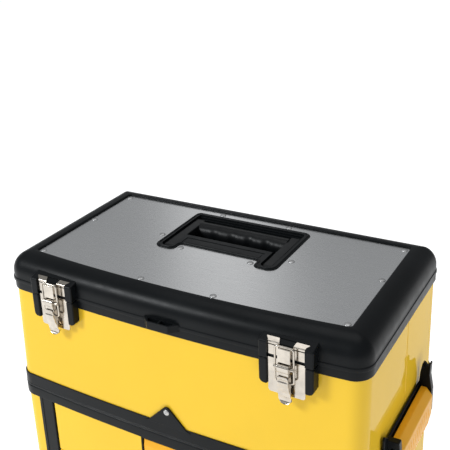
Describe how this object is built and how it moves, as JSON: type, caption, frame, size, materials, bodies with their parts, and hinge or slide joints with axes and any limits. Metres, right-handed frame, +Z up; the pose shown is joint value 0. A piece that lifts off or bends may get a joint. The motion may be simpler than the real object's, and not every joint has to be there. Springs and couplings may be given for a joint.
{
  "type": "rolling tool box",
  "caption": "Stacking wheeled tool box: lidded top box with toggle latches, drawer tier, tilt-out bin tier, side clips and a telescopic pull handle.",
  "frame": {"origin": "on the floor, below the middle of the whole object's box", "axes": "+Z up, -Y to the front with the latches, +X to the right as seen from the front"},
  "size_m": [0.534, 0.3504, 0.6326],
  "materials": {
    "yellow_enamel": "gloss powder enamel on sheet steel",
    "black_plastic": "fine textured injection moulding",
    "orange_plastic": "semi-gloss moulding",
    "aluminium_sheet": "fine grained satin sheet",
    "nickel_plate": "bright nickel plate",
    "zinc_steel": "zinc plated",
    "rubber": "matt",
    "tyre": "matt tread"
  },
  "bodies": {
    "base_tier": {"base_shell": "yellow_enamel", "base_frame": "black_plastic", "base_plinth": "black_plastic", "front_foot_l": "rubber", "front_foot_r": "rubber", "wheel_axle": "zinc_steel", "bin_pivot_rod": "zinc_steel", "handle_sleeve_l": "zinc_steel", "handle_sleeve_r": "zinc_steel"},
    "wheel_l": {"wheel_hub_l": "black_plastic", "wheel_tyre_l": "tyre"},
    "wheel_r": {"wheel_hub_r": "black_plastic", "wheel_tyre_r": "tyre"},
    "tilt_bin": {"bin_front": "yellow_enamel", "bin_bezel": "black_plastic", "bin_tub": "black_plastic"},
    "bin_pull": {"bin_pull": "orange_plastic"},
    "handle_lower": {"handle_tube_l": "zinc_steel", "handle_tube_r": "zinc_steel", "handle_collar": "black_plastic"},
    "handle_upper": {"handle_inner_tube_l": "zinc_steel", "handle_inner_tube_r": "zinc_steel", "handle_grip": "black_plastic"},
    "handle_button": {"handle_button": "orange_plastic"},
    "middle_tier": {"middle_shell": "yellow_enamel", "middle_frame": "black_plastic", "drawer_runner_l": "zinc_steel", "drawer_runner_r": "zinc_steel", "clip_carrier_lower_l": "black_plastic", "clip_carrier_lower_r": "black_plastic"},
    "clip_lower_l": {"clip_grip_lower_l": "orange_plastic"},
    "clip_lower_r": {"clip_grip_lower_r": "orange_plastic"},
    "drawer_upper": {"drawer_upper_front": "yellow_enamel", "drawer_upper_bezel": "black_plastic", "drawer_upper_tray": "zinc_steel"},
    "drawer_upper_pull": {"drawer_upper_pull": "orange_plastic"},
    "drawer_lower": {"drawer_lower_front": "yellow_enamel", "drawer_lower_bezel": "black_plastic", "drawer_lower_tray": "zinc_steel"},
    "drawer_lower_pull": {"drawer_lower_pull": "orange_plastic"},
    "top_box": {"top_box_shell": "yellow_enamel", "top_box_rim": "black_plastic", "top_box_band": "black_plastic", "band_rivet": "nickel_plate", "lid_hinge_rod": "zinc_steel", "latch_base_l": "nickel_plate", "latch_base_r": "nickel_plate", "clip_carrier_upper_l": "black_plastic", "clip_carrier_upper_r": "black_plastic"},
    "clip_upper_l": {"clip_grip_upper_l": "orange_plastic"},
    "clip_upper_r": {"clip_grip_upper_r": "orange_plastic"},
    "lid": {"lid_shell": "black_plastic", "lid_plate": "aluminium_sheet", "latch_catch_l": "nickel_plate", "latch_catch_r": "nickel_plate"},
    "carry_handle": {"carry_handle": "black_plastic"},
    "latch_lever_l": {"latch_lever_l": "nickel_plate"},
    "latch_lever_r": {"latch_lever_r": "nickel_plate"},
    "latch_bail_l": {"latch_bail_l": "nickel_plate"},
    "latch_bail_r": {"latch_bail_r": "nickel_plate"}
  },
  "joints": [
    {"name": "middle_tier_lift", "type": "slide", "parent": "base_tier", "child": "middle_tier", "axis": [0, 0, 1], "range_m": [0, 0.26]},
    {"name": "top_box_lift", "type": "slide", "parent": "middle_tier", "child": "top_box", "axis": [0, 0, 1], "range_m": [0, 0.26]},
    {"name": "lid_hinge", "type": "hinge", "parent": "top_box", "child": "lid", "pos_m": [0, 0.1217, 0.6], "axis": [-1, 0, 0], "range_deg": [0, 100]},
    {"name": "carry_handle_hinge", "type": "hinge", "parent": "lid", "child": "carry_handle", "pos_m": [0, -0.0268, 0.6245], "axis": [1, 0, 0], "range_deg": [0, 88]},
    {"name": "latch_lever_l_hinge", "type": "hinge", "parent": "top_box", "child": "latch_lever_l", "pos_m": [-0.1606, -0.1703, 0.5926], "axis": [-1, 0, 0], "range_deg": [0, 130]},
    {"name": "latch_bail_l_hinge", "type": "hinge", "parent": "latch_lever_l", "child": "latch_bail_l", "pos_m": [-0.1606, -0.1688, 0.5742], "axis": [-1, 0, 0], "range_deg": [-130, 0]},
    {"name": "clip_upper_l_hinge", "type": "hinge", "parent": "top_box", "child": "clip_upper_l", "pos_m": [-0.2565, -0.0153, 0.458], "axis": [0, 1, 0], "range_deg": [0, 70]},
    {"name": "clip_lower_l_hinge", "type": "hinge", "parent": "middle_tier", "child": "clip_lower_l", "pos_m": [-0.2565, -0.0153, 0.272], "axis": [0, 1, 0], "range_deg": [0, 70]},
    {"name": "wheel_l_spin", "type": "hinge", "parent": "base_tier", "child": "wheel_l", "pos_m": [-0.221, 0.1252, 0.05], "axis": [1, 0, 0], "continuous": true},
    {"name": "latch_lever_r_hinge", "type": "hinge", "parent": "top_box", "child": "latch_lever_r", "pos_m": [0.1606, -0.1703, 0.5926], "axis": [-1, 0, 0], "range_deg": [0, 130]},
    {"name": "latch_bail_r_hinge", "type": "hinge", "parent": "latch_lever_r", "child": "latch_bail_r", "pos_m": [0.1606, -0.1688, 0.5742], "axis": [-1, 0, 0], "range_deg": [-130, 0]},
    {"name": "clip_upper_r_hinge", "type": "hinge", "parent": "top_box", "child": "clip_upper_r", "pos_m": [0.2565, -0.0153, 0.458], "axis": [0, -1, 0], "range_deg": [0, 70]},
    {"name": "clip_lower_r_hinge", "type": "hinge", "parent": "middle_tier", "child": "clip_lower_r", "pos_m": [0.2565, -0.0153, 0.272], "axis": [0, -1, 0], "range_deg": [0, 70]},
    {"name": "wheel_r_spin", "type": "hinge", "parent": "base_tier", "child": "wheel_r", "pos_m": [0.221, 0.1252, 0.05], "axis": [1, 0, 0], "continuous": true},
    {"name": "drawer_upper_slide", "type": "slide", "parent": "middle_tier", "child": "drawer_upper", "axis": [0, -1, 0], "range_m": [0, 0.19]},
    {"name": "drawer_upper_pull_hinge", "type": "hinge", "parent": "drawer_upper", "child": "drawer_upper_pull", "pos_m": [0, -0.1573, 0.4187], "axis": [-1, 0, 0], "range_deg": [0, 25], "stiffness_Nm_per_rad": 0.02},
    {"name": "drawer_lower_slide", "type": "slide", "parent": "middle_tier", "child": "drawer_lower", "axis": [0, -1, 0], "range_m": [0, 0.19]},
    {"name": "drawer_lower_pull_hinge", "type": "hinge", "parent": "drawer_lower", "child": "drawer_lower_pull", "pos_m": [0, -0.1573, 0.3401], "axis": [-1, 0, 0], "range_deg": [0, 25], "stiffness_Nm_per_rad": 0.02},
    {"name": "bin_tilt", "type": "hinge", "parent": "base_tier", "child": "tilt_bin", "pos_m": [0, -0.1438, 0.081], "axis": [1, 0, 0], "range_deg": [0, 40]},
    {"name": "bin_pull_hinge", "type": "hinge", "parent": "tilt_bin", "child": "bin_pull", "pos_m": [0, -0.1573, 0.2327], "axis": [-1, 0, 0], "range_deg": [0, 25], "stiffness_Nm_per_rad": 0.02},
    {"name": "handle_lower_slide", "type": "slide", "parent": "base_tier", "child": "handle_lower", "axis": [0, 0, 1], "range_m": [0, 0.125]},
    {"name": "handle_upper_slide", "type": "slide", "parent": "handle_lower", "child": "handle_upper", "axis": [0, 0, 1], "range_m": [0, 0.235]},
    {"name": "handle_button_press", "type": "slide", "parent": "handle_upper", "child": "handle_button", "axis": [0, 0, -1], "range_m": [0, 0.003], "stiffness_N_per_m": 300}
  ],
  "couplings": [
    {"joint": "latch_bail_l_hinge", "follows": "latch_lever_l_hinge", "ratio": -1},
    {"joint": "latch_bail_r_hinge", "follows": "latch_lever_r_hinge", "ratio": -1}
  ]
}
